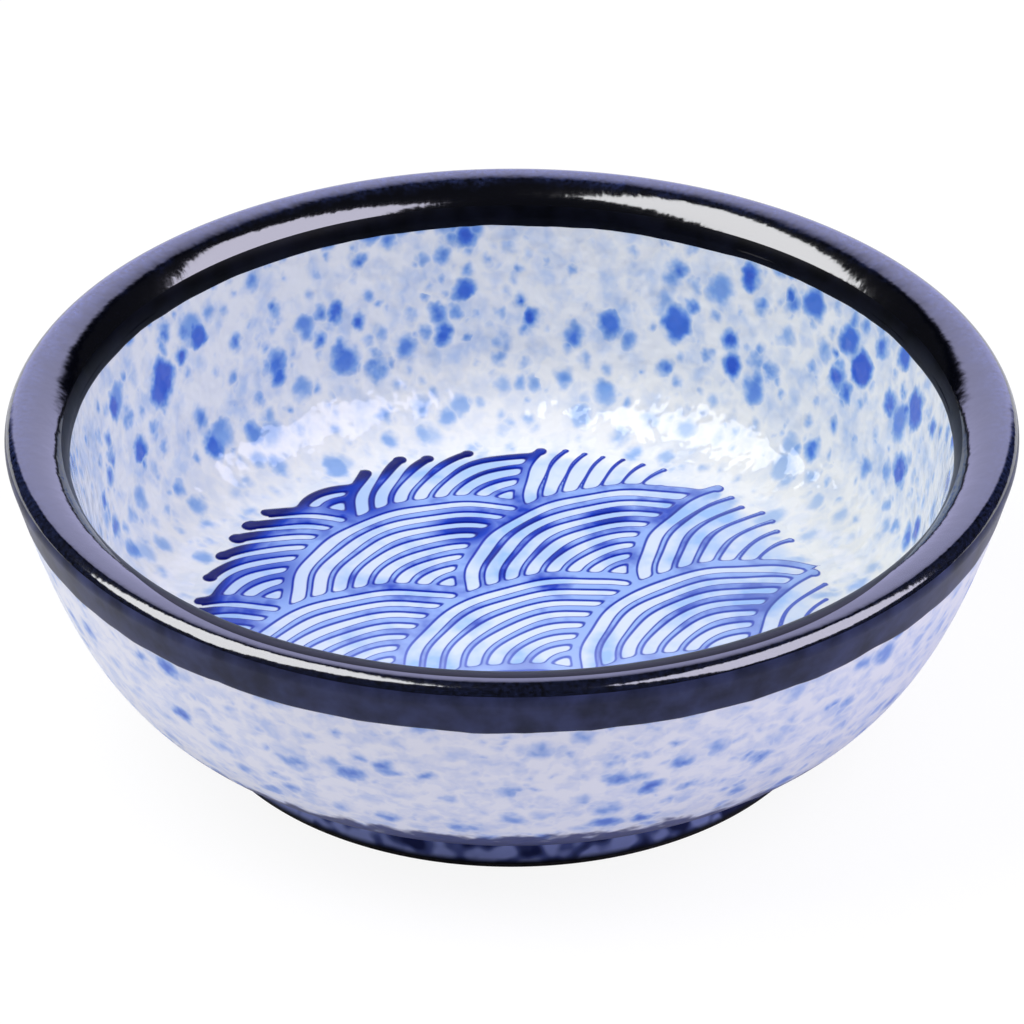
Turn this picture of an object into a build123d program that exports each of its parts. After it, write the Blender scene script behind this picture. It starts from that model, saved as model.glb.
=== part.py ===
"""Soy sauce dish: a turned stoneware bowl on a foot ring, with its coats of glaze and a wave relief."""
from build123d import *
import os
from math import asin, atan2, cos, degrees, hypot, radians, sin, tan

# Overall sizes, in millimetres; the origin is the middle of the foot's resting plane, +Z is up
RIM_DIAMETER = 96.0
HEIGHT = 31.5
FLOOR_HEIGHT = 7.3
GLAZE = 0.4

# Lip and wall; leans are degrees away from upright
LIP_EDGE_RADIUS = 1.5
LIP_ROLL_RADIUS = 4.5
RIM_BAND_DEPTH = 4.9
OUTER_LEAN = 15.0
INNER_LEAN = 11.0
FLOOR_FILLET = 8.5
FLOOR_MARGIN = 0.05

# Belly curve; its low corner lies outside and under the inside corner, its pull is a tangent's length
BELLY_OUT = 2.1
BELLY_UNDER = 1.94
WALL_PULL = 17.6

# Foot
FOOT_DIAMETER = 63.4
FOOT_HEIGHT = 4.4
FOOT_WIDTH = 4.1
FOOT_BEVEL = 0.5
BARE_EDGE = 0.7
POOL_RADIUS = 1.2
POOL_RISE = 0.19
RECESS_BEVEL = 0.8

# Wave relief: overlapping fans of concentric strokes, cut off by a round edge
MEDALLION_DIAMETER = 62.0
RELIEF = 0.3
WAVE_RADIUS = 18.3
WAVE_BORDER = 1.2
WAVE_HALF_STEP = 14.7
WAVE_ROW_STEP = 9.0
WAVE_TURN = 38.5
WAVE_START = (-4.5, 4.0)
RING_PITCH = 2.1
CELL_WIDTH = 1.15
STROKE_SIDES = 30

# Worked out from the sizes above
RIM_RADIUS = RIM_DIAMETER / 2
FOOT_RADIUS = FOOT_DIAMETER / 2
FOOT_OUTER = FOOT_RADIUS - GLAZE
FOOT_INNER = FOOT_OUTER - FOOT_WIDTH
MEDALLION_RADIUS = MEDALLION_DIAMETER / 2
ROLL_SWEEP = 90 - INNER_LEAN


def turned(degrees):
    """Unit vector in a section, degrees anticlockwise from outwards."""
    return Vector(cos(radians(degrees)), sin(radians(degrees)))


LIP_CENTRE = Vector(RIM_RADIUS - LIP_EDGE_RADIUS, HEIGHT - LIP_EDGE_RADIUS)
ROLL_CENTRE = Vector(RIM_RADIUS - LIP_EDGE_RADIUS, HEIGHT - LIP_ROLL_RADIUS)
WALL_TOP = ROLL_CENTRE + turned(90 + ROLL_SWEEP) * LIP_ROLL_RADIUS
WALL_RUN = (WALL_TOP.Y - FLOOR_HEIGHT) * tan(radians(INNER_LEAN))
WALL_FOOT = Vector(WALL_TOP.X - WALL_RUN, FLOOR_HEIGHT)

# The round between wall and floor leaves the waves lying flat
CORNER_SHARE = tan(radians(ROLL_SWEEP / 2))
CORNER_ROOM = WALL_FOOT.X - MEDALLION_RADIUS - FLOOR_MARGIN
CORNER_RADIUS = min(FLOOR_FILLET, CORNER_ROOM / CORNER_SHARE)
CORNER_CENTRE = WALL_FOOT + Vector(-CORNER_RADIUS * CORNER_SHARE, CORNER_RADIUS)
CORNER_MIDDLE = CORNER_CENTRE + turned(ROLL_SWEEP / 2 - 90) * CORNER_RADIUS

# The belly leaves the glaze pooled on the foot along a tangent towards its low corner
BELLY_CORNER = CORNER_MIDDLE + Vector(BELLY_OUT, -BELLY_UNDER)
POOL_CENTRE = Vector(FOOT_RADIUS + POOL_RADIUS, FOOT_HEIGHT + POOL_RISE - POOL_RADIUS - GLAZE)
POOL_TO_BELLY = BELLY_CORNER - POOL_CENTRE
POOL_ANGLE = asin(POOL_RADIUS / POOL_TO_BELLY.length)
BELLY_SLOPE = degrees(atan2(POOL_TO_BELLY.Y, POOL_TO_BELLY.X) - POOL_ANGLE)


# Points of the section; the inset is 0 on the glazed skin and GLAZE on the clay under it


def belly_start(inset):
    """Where the bowl's outside meets the glaze pooled on the foot."""
    return POOL_CENTRE + turned(90 + BELLY_SLOPE) * (POOL_RADIUS + inset)


def band_outside(inset):
    """Lower edge of the dark rim band on the outside."""
    drop = RIM_BAND_DEPTH - LIP_EDGE_RADIUS * (1 + sin(radians(OUTER_LEAN)))
    along = turned(90 - OUTER_LEAN) * (drop / cos(radians(OUTER_LEAN)))
    return lip_edge(inset) - along


def lip_edge(inset):
    """Where the upright of the rim turns into its tight outer edge."""
    return LIP_CENTRE + turned(-OUTER_LEAN) * (LIP_EDGE_RADIUS - inset)


def band_inside(inset):
    """Lower edge of the dark rim band on the inside."""
    return ROLL_CENTRE + turned(90 + ROLL_SWEEP) * (LIP_ROLL_RADIUS - inset)


def floor_middle(inset):
    """Middle of the floor."""
    return Vector(0, FLOOR_HEIGHT - inset)


# Stretches of the section, from the foot up the outside, over the rim and down to the floor


def belly(inset):
    """Outside of the bowl, from the foot to the rim band."""
    start, end = belly_start(inset), band_outside(inset)
    low_pull = start + turned(BELLY_SLOPE) * (BELLY_CORNER - belly_start(0)).length
    high_pull = end - turned(90 - OUTER_LEAN) * WALL_PULL
    return [Bezier(start, low_pull, high_pull, end)]


def lip_skin():
    """Glazed rim: an upright, a tight outer edge and a broad roll to the inside."""
    return [
        Line(band_outside(0), lip_edge(0)),
        CenterArc(LIP_CENTRE, LIP_EDGE_RADIUS, -OUTER_LEAN, 90 + OUTER_LEAN),
        CenterArc(ROLL_CENTRE, LIP_ROLL_RADIUS, 90, ROLL_SWEEP),
    ]


def lip_clay():
    """Clay rim, turned with plain bevels that the glaze rounds off."""
    top = LIP_CENTRE + Vector(0, LIP_EDGE_RADIUS - GLAZE)
    roll = ROLL_CENTRE + turned(90 + ROLL_SWEEP / 2) * (LIP_ROLL_RADIUS - GLAZE)
    return Polyline(band_outside(GLAZE), lip_edge(GLAZE), top, roll, band_inside(GLAZE)).edges()


def well_skin():
    """Glazed inside wall and floor, from the rim band to the axis."""
    floor_edge = CORNER_CENTRE - Vector(0, CORNER_RADIUS)
    return [
        Line(band_inside(0), CORNER_CENTRE + turned(-INNER_LEAN) * CORNER_RADIUS),
        CenterArc(CORNER_CENTRE, CORNER_RADIUS, -90, ROLL_SWEEP),
        Line(floor_edge, floor_middle(0)),
    ]


def well_clay():
    """Clay inside wall and floor, with a bevel where the glaze lies thicker in the corner."""
    corner_reach = (CORNER_RADIUS + GLAZE) / cos(radians(ROLL_SWEEP / 4))
    high_corner = CORNER_CENTRE + turned(-INNER_LEAN - ROLL_SWEEP / 4) * corner_reach
    low_corner = CORNER_CENTRE + turned(-90 + ROLL_SWEEP / 4) * corner_reach
    return Polyline(band_inside(GLAZE), high_corner, low_corner, floor_middle(GLAZE)).edges()


def spun(edges):
    """Solid of revolution about Z of a closed section, drawn as radius and height."""
    return revolve(Plane.XZ * make_face(edges), axis=Axis.Z)


def coat(skin, clay, *ends):
    """Layer of glaze between its skin and the clay, closed off at both ends."""
    return spun([*skin, *clay, *[Line(end(0), end(GLAZE)) for end in ends]])


def clay_bowl():
    """Fired clay under the glaze, flat below, where the foot ring joins it."""
    base_middle, base_edge = Vector(0, FOOT_HEIGHT), Vector(FOOT_OUTER, FOOT_HEIGHT)
    base = Polyline(floor_middle(GLAZE), base_middle, base_edge, belly_start(GLAZE)).edges()
    return spun([*base, *belly(GLAZE), *lip_clay(), *well_clay()])


def inner_glaze():
    """White glaze inside the bowl."""
    return coat(well_skin(), well_clay(), band_inside, floor_middle)


def outer_glaze():
    """White glaze outside the bowl."""
    return coat(belly(0), belly(GLAZE), belly_start, band_outside)


def rim_glaze():
    """Dark glaze over the rim."""
    return coat(lip_skin(), lip_clay(), band_outside, band_inside)


def foot_ring():
    """Clay ring that the dish stands on, with bevelled lower edges."""
    section = Pos(FOOT_INNER, 0) * Rectangle(FOOT_WIDTH, FOOT_HEIGHT, align=Align.MIN)
    lower = section.vertices().group_by(Axis.Y)[0]
    return revolve(Plane.XZ * chamfer(lower, FOOT_BEVEL), axis=Axis.Z)


def foot_glaze():
    """Dark glaze on the foot's wall, pooled in the corner under the belly."""
    clay_top, clay_foot = Vector(FOOT_OUTER, FOOT_HEIGHT), Vector(FOOT_OUTER, BARE_EDGE)
    skin_foot = Vector(FOOT_RADIUS, BARE_EDGE)
    pool_foot = POOL_CENTRE - Vector(POOL_RADIUS, 0)
    pool = CenterArc(POOL_CENTRE, POOL_RADIUS, 90 + BELLY_SLOPE, 90 - BELLY_SLOPE)
    under_bowl = Polyline(belly_start(0), belly_start(GLAZE), clay_top, clay_foot, skin_foot, pool_foot)
    return spun([pool, *under_bowl.edges()])


def base_glaze():
    """White glaze under the base and down the inside of the foot ring."""
    skin_radius, skin_height = FOOT_INNER - GLAZE, FOOT_HEIGHT - GLAZE
    outline = Polyline(
        (0, FOOT_HEIGHT),
        (FOOT_INNER, FOOT_HEIGHT),
        (FOOT_INNER, BARE_EDGE),
        (skin_radius, BARE_EDGE),
        (skin_radius, skin_height - RECESS_BEVEL),
        (skin_radius - RECESS_BEVEL, skin_height),
        (0, skin_height),
        close=True,
    )
    return spun(outline.edges())


def wave_middle(column, row):
    """Centre of the fan in this column and row of the turned lattice."""
    across = Vector(column * WAVE_HALF_STEP, row * WAVE_ROW_STEP)
    return Vector(*WAVE_START) + across.rotate(Axis.Z, WAVE_TURN)


def wave_round(radius):
    """Round outline of a stroke, in flats."""
    return RegularPolygon(radius, STROKE_SIDES)


def fan_cells(column, row):
    """Bare cells between the strokes of one fan, where the fans in front leave it open."""
    middle = Pos(wave_middle(column, row))
    in_front = [(-1, -1), (1, -1), (0, -2), (2, 0)]
    hidden = [Pos(wave_middle(column + i, row + j)) * wave_round(WAVE_RADIUS) for i, j in in_front]
    cells = []
    outer = WAVE_RADIUS - WAVE_BORDER
    while outer > CELL_WIDTH:
        ring = wave_round(outer) - wave_round(outer - CELL_WIDTH)
        cells.extend((middle * ring - hidden).faces())
        outer -= RING_PITCH
    return cells


def wave_medallion():
    """Raised strokes of the waves on the floor, one fret with open cells."""
    reach = MEDALLION_RADIUS + WAVE_RADIUS
    last_column, last_row = int(reach / WAVE_HALF_STEP) + 1, int(reach / WAVE_ROW_STEP) + 1
    cells = []
    for column in range(-last_column, last_column + 1):
        for row in range(-last_row, last_row + 1):
            middle = wave_middle(column, row)
            if (column + row) % 2 == 0 and hypot(middle.X, middle.Y) < reach:
                cells.extend(fan_cells(column, row))
    fret = (Circle(MEDALLION_RADIUS) - cells).faces().sort_by(SortBy.AREA)[-1]
    return extrude(Pos(0, 0, FLOOR_HEIGHT) * fret, RELIEF)


PIECES = (
    clay_bowl,
    foot_ring,
    inner_glaze,
    outer_glaze,
    rim_glaze,
    foot_glaze,
    base_glaze,
    wave_medallion,
)

os.makedirs("parts", exist_ok=True)
for piece in PIECES:
    export_step(piece(), f"parts/{piece.__name__}.step")
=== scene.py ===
"""Soy sauce dish of turned stoneware, with speckled glaze, a dark rim and a painted wave medallion."""

import logging
from dataclasses import dataclass
from enum import Enum
from math import asin, atan2, cos, degrees, hypot, pi, radians, sin, tan
from typing import Any

import bpy
import numpy as np
from mathutils import Matrix, Vector, noise


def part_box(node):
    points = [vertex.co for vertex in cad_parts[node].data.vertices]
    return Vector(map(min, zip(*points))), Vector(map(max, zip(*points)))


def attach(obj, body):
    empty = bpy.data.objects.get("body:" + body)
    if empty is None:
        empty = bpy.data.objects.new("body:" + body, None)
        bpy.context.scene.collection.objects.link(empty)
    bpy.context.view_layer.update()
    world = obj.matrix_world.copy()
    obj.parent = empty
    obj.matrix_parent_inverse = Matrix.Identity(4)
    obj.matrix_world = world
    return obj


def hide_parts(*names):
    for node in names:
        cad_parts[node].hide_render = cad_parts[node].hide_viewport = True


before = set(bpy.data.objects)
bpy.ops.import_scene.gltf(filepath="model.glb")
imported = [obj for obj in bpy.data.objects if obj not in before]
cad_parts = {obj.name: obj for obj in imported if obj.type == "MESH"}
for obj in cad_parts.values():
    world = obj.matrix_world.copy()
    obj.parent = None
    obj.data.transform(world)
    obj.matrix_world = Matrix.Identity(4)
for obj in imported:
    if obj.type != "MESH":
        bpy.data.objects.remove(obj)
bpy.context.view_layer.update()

MM = 0.001
ROUND_STEPS = 256
MERGE_GAP = 0.0005 * MM
SMOOTH_ANGLE = 40.0
SCATTER_GAP = 90.0
TINY = 1e-6
EASED = {"interpolation_type": "SMOOTHSTEP"}

log = logging.getLogger("dish")

Material = bpy.types.Material
Node = bpy.types.Node
Piece = bpy.types.Object
Point = tuple[float, float]
Socket = bpy.types.NodeSocket
Tree = bpy.types.NodeTree


class Slot(str, Enum):
    """Slots of the record, one named for each new piece's finish."""

    BARE_CLAY = "bare_clay"
    SPECKLED = "speckled_glaze"
    RIM = "rim_glaze"
    FOOT = "foot_glaze"
    STROKES = "cobalt_strokes"


class RimCoat(int, Enum):
    """Finishes of the rim band, in the order that it wears them."""

    LIP = 0
    OUTSIDE = 1
    INSIDE = 2


def linear(code: str) -> tuple[float, float, float, float]:
    """Turns an sRGB hex colour into linear light.

    Args:
        code: Colour as six hex digits after a hash sign.

    Returns:
        Red, green, blue and an alpha of 1.
    """
    parts = [int(code[i : i + 2], 16) / 255 for i in (1, 3, 5)]
    light = [p / 12.92 if p <= 0.04045 else ((p + 0.055) / 1.055) ** 2.4 for p in parts]
    return (light[0], light[1], light[2], 1.0)


def add_node(
    tree: Tree, kind: str, inputs: dict | None = None, stops: dict[float, str] | None = None, **settings: Any
) -> Node:
    """Adds a node with its settings, values and links.

    Args:
        tree: Node tree that gets the node.
        kind: Blender's type name of the node, without the ShaderNode that all of them start with.
        inputs: Value, or node or socket to link from, for each input name or number.
        stops: Hex colour at each position of a colour ramp, in order.
        settings: Properties of the node.

    Returns:
        The new node.
    """
    node = tree.nodes.new("ShaderNode" + kind)
    for name, value in settings.items():
        setattr(node, name, value)
    for key, value in (inputs or {}).items():
        source = value.outputs[0] if isinstance(value, Node) else value
        if isinstance(source, Socket):
            tree.links.new(source, node.inputs[key])
        else:
            node.inputs[key].default_value = source
    if stops:
        elements = node.color_ramp.elements
        for position in list(stops)[2:]:
            elements.new(position)
        for element, (position, code) in zip(elements, stops.items()):
            element.position = position
            element.color = linear(code)
    return node


def in_metres(point: Point) -> Vector:
    """Place in the row frame of a section's point, given as radius and height in millimetres."""
    return Vector((point[0] * MM, 0, point[1] * MM))


def polar(centre: Point, radius: float, angle: float) -> Point:
    """Point of a section at a radius and an angle in degrees about a centre."""
    return (centre[0] + radius * cos(radians(angle)), centre[1] + radius * sin(radians(angle)))


def ease(low: float, high: float, values: np.ndarray) -> np.ndarray:
    """Smooth step from 0 at the low value to 1 at the high one."""
    part = np.clip((values - low) / (high - low), 0, 1)
    return part * part * (3 - 2 * part)


class Wheel:
    """Potter's wheel: draws a section from point to point and spins it about the dish's axis."""

    def __init__(self, name: str, start: Point) -> None:
        """Sets one vertex down at the section's start.

        Args:
            name: Name of the piece.
            start: Radius and height in millimetres.
        """
        bpy.ops.object.select_all(action="DESELECT")
        bpy.ops.mesh.primitive_plane_add(size=MM)
        self.piece = bpy.context.object
        self.piece.name = self.piece.data.name = name
        bpy.ops.object.mode_set(mode="EDIT")
        bpy.ops.mesh.select_all(action="SELECT")
        bpy.ops.mesh.merge(type="CENTER")
        bpy.ops.transform.translate(value=in_metres(start))
        self.at = start

    def line(self, *points: Point) -> "Wheel":
        """Draws straight runs on to each of the points.

        Args:
            points: Radius and height of each in millimetres.

        Returns:
            The wheel itself.
        """
        for point in points:
            step = in_metres(point) - in_metres(self.at)
            bpy.ops.mesh.extrude_region_move(TRANSFORM_OT_translate={"value": step})
            self.at = point
        return self

    def arc(self, centre: Point, sweep: float, steps: int) -> "Wheel":
        """Draws a round stretch on from where the section is.

        Args:
            centre: Centre of the round.
            sweep: Degrees turned, anticlockwise if positive.
            steps: Edges along the round.

        Returns:
            The wheel itself.
        """
        axis = (0, 1 if sweep > 0 else -1, 0)
        bpy.ops.mesh.spin(steps=steps, angle=abs(radians(sweep)), center=in_metres(centre), axis=axis)
        reach = hypot(self.at[0] - centre[0], self.at[1] - centre[1])
        start = degrees(atan2(self.at[1] - centre[1], self.at[0] - centre[0]))
        self.at = polar(centre, reach, start + sweep)
        return self

    def spin(self) -> Piece:
        """Turns the section into a closed piece, with its faces outwards.

        Returns:
            The piece.
        """
        bpy.ops.mesh.select_all(action="SELECT")
        bpy.ops.mesh.remove_doubles(threshold=MERGE_GAP)
        bpy.ops.mesh.spin(steps=ROUND_STEPS, angle=2 * pi, center=(0, 0, 0), axis=(0, 0, 1))
        bpy.ops.mesh.select_all(action="SELECT")
        bpy.ops.mesh.remove_doubles(threshold=MERGE_GAP)
        bpy.ops.mesh.normals_make_consistent(inside=False)
        bpy.ops.object.mode_set(mode="OBJECT")
        bpy.ops.object.shade_smooth_by_angle(angle=radians(SMOOTH_ANGLE))
        return self.piece


def settle(piece: Piece, node: str, slot: Slot, *finishes: Material) -> None:
    """Dresses a piece, lets it ride and stand for its CAD node, and reports it.

    Args:
        piece: Finished mesh.
        node: CAD node that it replaces.
        slot: Record's slot of its finish; not used.
        finishes: Materials that it wears.
    """
    for finish in finishes:
        piece.data.materials.append(finish)
    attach(piece, "root")
    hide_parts(node)
    log.info("%s stands for %s: %d faces", piece.name, node, len(piece.data.polygons))


def new_material(name: str) -> tuple[Material, Tree, Node]:
    """Starts a procedural material.

    Args:
        name: What the material is.

    Returns:
        The material, its emptied node tree and the place of a point in millimetres as a vector node.
    """
    material = bpy.data.materials.new(name)
    material.use_nodes = True
    tree = material.node_tree
    tree.nodes.clear()
    place = add_node(tree, "TexCoord").outputs["Object"]
    return material, tree, add_node(tree, "VectorMath", {0: place, "Scale": 1 / MM}, operation="SCALE")


def off_axis(tree: Tree, place: Node) -> Socket:
    """Measures how far points lie from the dish's axis.

    Args:
        tree: Node tree of the material.
        place: Place of a point in millimetres.

    Returns:
        The distance in millimetres.
    """
    flat = add_node(tree, "VectorMath", {0: place, 1: (1, 1, 0)}, operation="MULTIPLY")
    return add_node(tree, "VectorMath", {0: flat}, operation="LENGTH").outputs["Value"]


def shine(tree: Tree, inputs: dict, height: Node | None = None, rise: float = 0.0) -> None:
    """Ends a material in a glossy or matt surface shader.

    Args:
        tree: Node tree of the material.
        inputs: Values and links of the shader.
        height: Where an uneven surface gets its height from.
        rise: How uneven it is, in millimetres.
    """
    if height is not None:
        uneven = add_node(tree, "Bump", {"Height": height, "Distance": rise * MM})
        inputs = {**inputs, "Normal": uneven}
    shader = add_node(tree, "BsdfPrincipled", inputs)
    add_node(tree, "OutputMaterial", {"Surface": shader})


@dataclass(frozen=True)
class Speckle:
    """One scatter of cobalt spots.

    Attributes:
        room: Room that each spot has, in millimetres.
        least: Least radius of a spot.
        most: Greatest radius of a spot.
        strength: Strength of the blue.
        merge: How far neighbours run together.
    """

    room: float
    least: float
    most: float
    strength: float
    merge: float = 0.0


INSIDE_SPECKLES = (
    Speckle(4.0, 1.0, 2.2, 1.1, 0.3),
    Speckle(3.2, 0.9, 1.8, 1.1, 0.3),
    Speckle(2.6, 0.7, 1.25, 1.0),
    Speckle(2.0, 0.6, 0.95, 0.9),
)
OUTSIDE_SPECKLES = (
    Speckle(4.4, 1.1, 2.5, 1.1, 0.3),
    Speckle(3.6, 1.0, 2.1, 1.0, 0.3),
    Speckle(2.8, 0.8, 1.4, 0.95),
    Speckle(2.2, 0.7, 1.1, 0.85),
)


@dataclass(frozen=True)
class SpeckledGlaze:
    """White feldspar glaze over cobalt speckles: milky and wet-looking, the blue bled soft at the edges."""

    name: str
    speckles: tuple[Speckle, ...] = INSIDE_SPECKLES
    white: str = "#ECEEE8"
    milky: str = "#D8E0E6"
    pale: str = "#ADC5E2"
    sky: str = "#7CA4DA"
    blue: str = "#4476D0"
    cobalt: str = "#2A58C4"
    girth: float = 38.0
    run: float = 1.55
    bleed: float = 0.7
    bleed_width: float = 1.6
    feather: float = 1.3
    faintest: float = 0.5
    cloud_width: float = 2.4
    cloud_span: Point = (0.44, 0.74)
    cloud_share: float = 0.3
    roughness: float = 0.05
    ripple: float = 0.45
    ripple_width: float = 3.0
    ior: float = 1.52
    milky_low: float = 0.0
    milky_rise: float = 8.0
    milky_share: float = 0.45
    dye: str = "#1E2A66"
    dye_top: float = 0.0
    dye_tilt: float = 0.07
    dye_width: float = 2.2
    dye_ragged: float = 5.0
    dye_fade: Point = (1.7, 3.2)
    dye_share: float = 0.95

    def unrolled(self, tree: Tree, place: Node) -> Node:
        """Place round the wall and along its section, drawn short along it so that the spots run downwards.

        Args:
            tree: Node tree of the glaze.
            place: Place of a point in millimetres.

        Returns:
            The place on the unrolled wall.
        """
        xyz = add_node(tree, "SeparateXYZ", {0: place}).outputs
        flat = add_node(tree, "CombineXYZ", {"X": xyz["X"], "Y": xyz["Y"]})
        length = add_node(tree, "Math", {0: off_axis(tree, place), 1: xyz["Z"]}, operation="ADD")
        length = add_node(tree, "Math", {0: length, 1: 1 / self.run}, operation="MULTIPLY")
        around = add_node(tree, "VectorMath", {0: flat}, operation="NORMALIZE")
        up = add_node(tree, "CombineXYZ", {"Z": length})
        spread = {0: around, 1: (self.girth, self.girth, 0), 2: up}
        return add_node(tree, "VectorMath", spread, operation="MULTIPLY_ADD")

    def bled(self, tree: Tree, place: Node) -> Node:
        """Place on the unrolled wall, or on a flat piece without girth, with the bleeding of the glaze added.

        Args:
            tree: Node tree of the glaze.
            place: Place of a point in millimetres.

        Returns:
            The place that the spots are laid out by.
        """
        wander = {"Vector": place, "Scale": 1 / self.bleed_width, "Detail": 2.0}
        wander = add_node(tree, "TexNoise", wander).outputs["Color"]
        centred = add_node(tree, "VectorMath", {0: wander, 1: (0.5, 0.5, 0.5)}, operation="SUBTRACT")
        wall = self.unrolled(tree, place) if self.girth else place
        sway = 2 * self.bleed
        bled = {0: centred, 1: (sway, sway, sway), 2: wall}
        return add_node(tree, "VectorMath", bled, operation="MULTIPLY_ADD")

    def spots(self, tree: Tree, wall: Node, number: int) -> Node:
        """One scatter of soft round spots of many sizes and strengths.

        Args:
            tree: Node tree of the glaze.
            wall: Place that the spots are laid out by.
            number: Which of the speckles.

        Returns:
            Strength of the blue, from 0 to 1.
        """
        speckle = self.speckles[number]
        shifted = add_node(tree, "VectorMath", {0: wall, 1: (0, 0, SCATTER_GAP * number)}, operation="ADD")
        cells = {"Vector": shifted, "Scale": 1 / speckle.room}
        if speckle.merge:
            cells = {**cells, "Smoothness": speckle.merge}
        cells = add_node(tree, "TexVoronoi", cells, feature="SMOOTH_F1" if speckle.merge else "F1").outputs
        chance = add_node(tree, "SeparateColor", {0: cells["Color"]}).outputs
        sizes = {"To Min": speckle.least / speckle.room, "To Max": speckle.most / speckle.room}
        radius = add_node(tree, "MapRange", {"Value": chance[0], **sizes})
        within = add_node(tree, "Math", {0: radius, 1: cells["Distance"]}, operation="SUBTRACT")
        soft = add_node(tree, "MapRange", {"Value": within, "From Max": self.feather / speckle.room}, **EASED)
        limits = {"Value": chance[1], "To Min": self.faintest * speckle.strength, "To Max": speckle.strength}
        strength = add_node(tree, "MapRange", limits)
        return add_node(tree, "Math", {0: soft, 1: strength}, operation="MULTIPLY")

    def dyed(self, tree: Tree, place: Node, colour: Socket) -> Socket:
        """Draws the dye of the foot up under the glaze's lower edge, raggedly and highest at the front.

        Args:
            tree: Node tree of the glaze.
            place: Place of a point in millimetres.
            colour: The glaze's colour.

        Returns:
            The colour with the dye.
        """
        xyz = add_node(tree, "SeparateXYZ", {0: place}).outputs
        height = {0: xyz["Y"], 1: self.dye_tilt, 2: xyz["Z"]}
        height = add_node(tree, "Math", height, operation="MULTIPLY_ADD")
        edge = add_node(tree, "TexNoise", {"Vector": place, "Scale": 1 / self.dye_width, "Detail": 2.0})
        ragged = add_node(tree, "Math", {0: edge, 1: -self.dye_ragged, 2: height}, operation="MULTIPLY_ADD")
        top, full = [self.dye_top - fade for fade in self.dye_fade]
        limits = {"Value": ragged, "From Min": top, "From Max": full, "To Max": self.dye_share}
        share = add_node(tree, "MapRange", limits, **EASED)
        return add_node(tree, "Mix", {0: share, 6: colour, 7: linear(self.dye)}, data_type="RGBA").outputs[2]

    def colour(self, tree: Tree, place: Node) -> Socket:
        """Lays the speckles on the white, and the dye of the foot under its lower edge.

        Args:
            tree: Node tree of the glaze.
            place: Place of a point in millimetres.

        Returns:
            The glaze's colour.
        """
        wall = self.bled(tree, place)
        total = self.spots(tree, wall, 0)
        for number in range(1, len(self.speckles)):
            more = self.spots(tree, wall, number)
            total = add_node(tree, "Math", {0: total, 1: more}, operation="MAXIMUM")
        cloud = add_node(tree, "TexNoise", {"Vector": wall, "Scale": 1 / self.cloud_width, "Detail": 2.0})
        limits = {"Value": cloud, "From Min": self.cloud_span[0], "From Max": self.cloud_span[1]}
        cloud = add_node(tree, "MapRange", {**limits, "To Max": self.cloud_share})
        total = add_node(tree, "Math", {0: total, 1: cloud}, operation="MAXIMUM")
        if self.milky_low:
            height = add_node(tree, "SeparateXYZ", {0: place}).outputs["Z"]
            low, share = self.milky_low, self.milky_share
            limits = {"Value": height, "From Min": low, "From Max": low + self.milky_rise, "To Min": share}
            clear = add_node(tree, "MapRange", limits, **EASED)
            total = add_node(tree, "Math", {0: total, 1: clear}, operation="MULTIPLY")
        stops = {0.0: self.white, 0.14: self.milky, 0.32: self.pale}
        stops = {**stops, 0.55: self.sky, 0.8: self.blue, 1.0: self.cobalt}
        colour = add_node(tree, "ValToRGB", {"Fac": total}, stops).outputs["Color"]
        return self.dyed(tree, place, colour) if self.dye_top else colour

    def build(self) -> Material:
        """Makes the glaze's material.

        Returns:
            The material.
        """
        material, tree, place = new_material(self.name)
        inputs = {"Base Color": self.colour(tree, place), "Roughness": self.roughness, "IOR": self.ior}
        ripple = add_node(tree, "TexNoise", {"Vector": place, "Scale": 1 / self.ripple_width, "Detail": 2.0})
        shine(tree, inputs, ripple, self.ripple)
        return material


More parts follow.
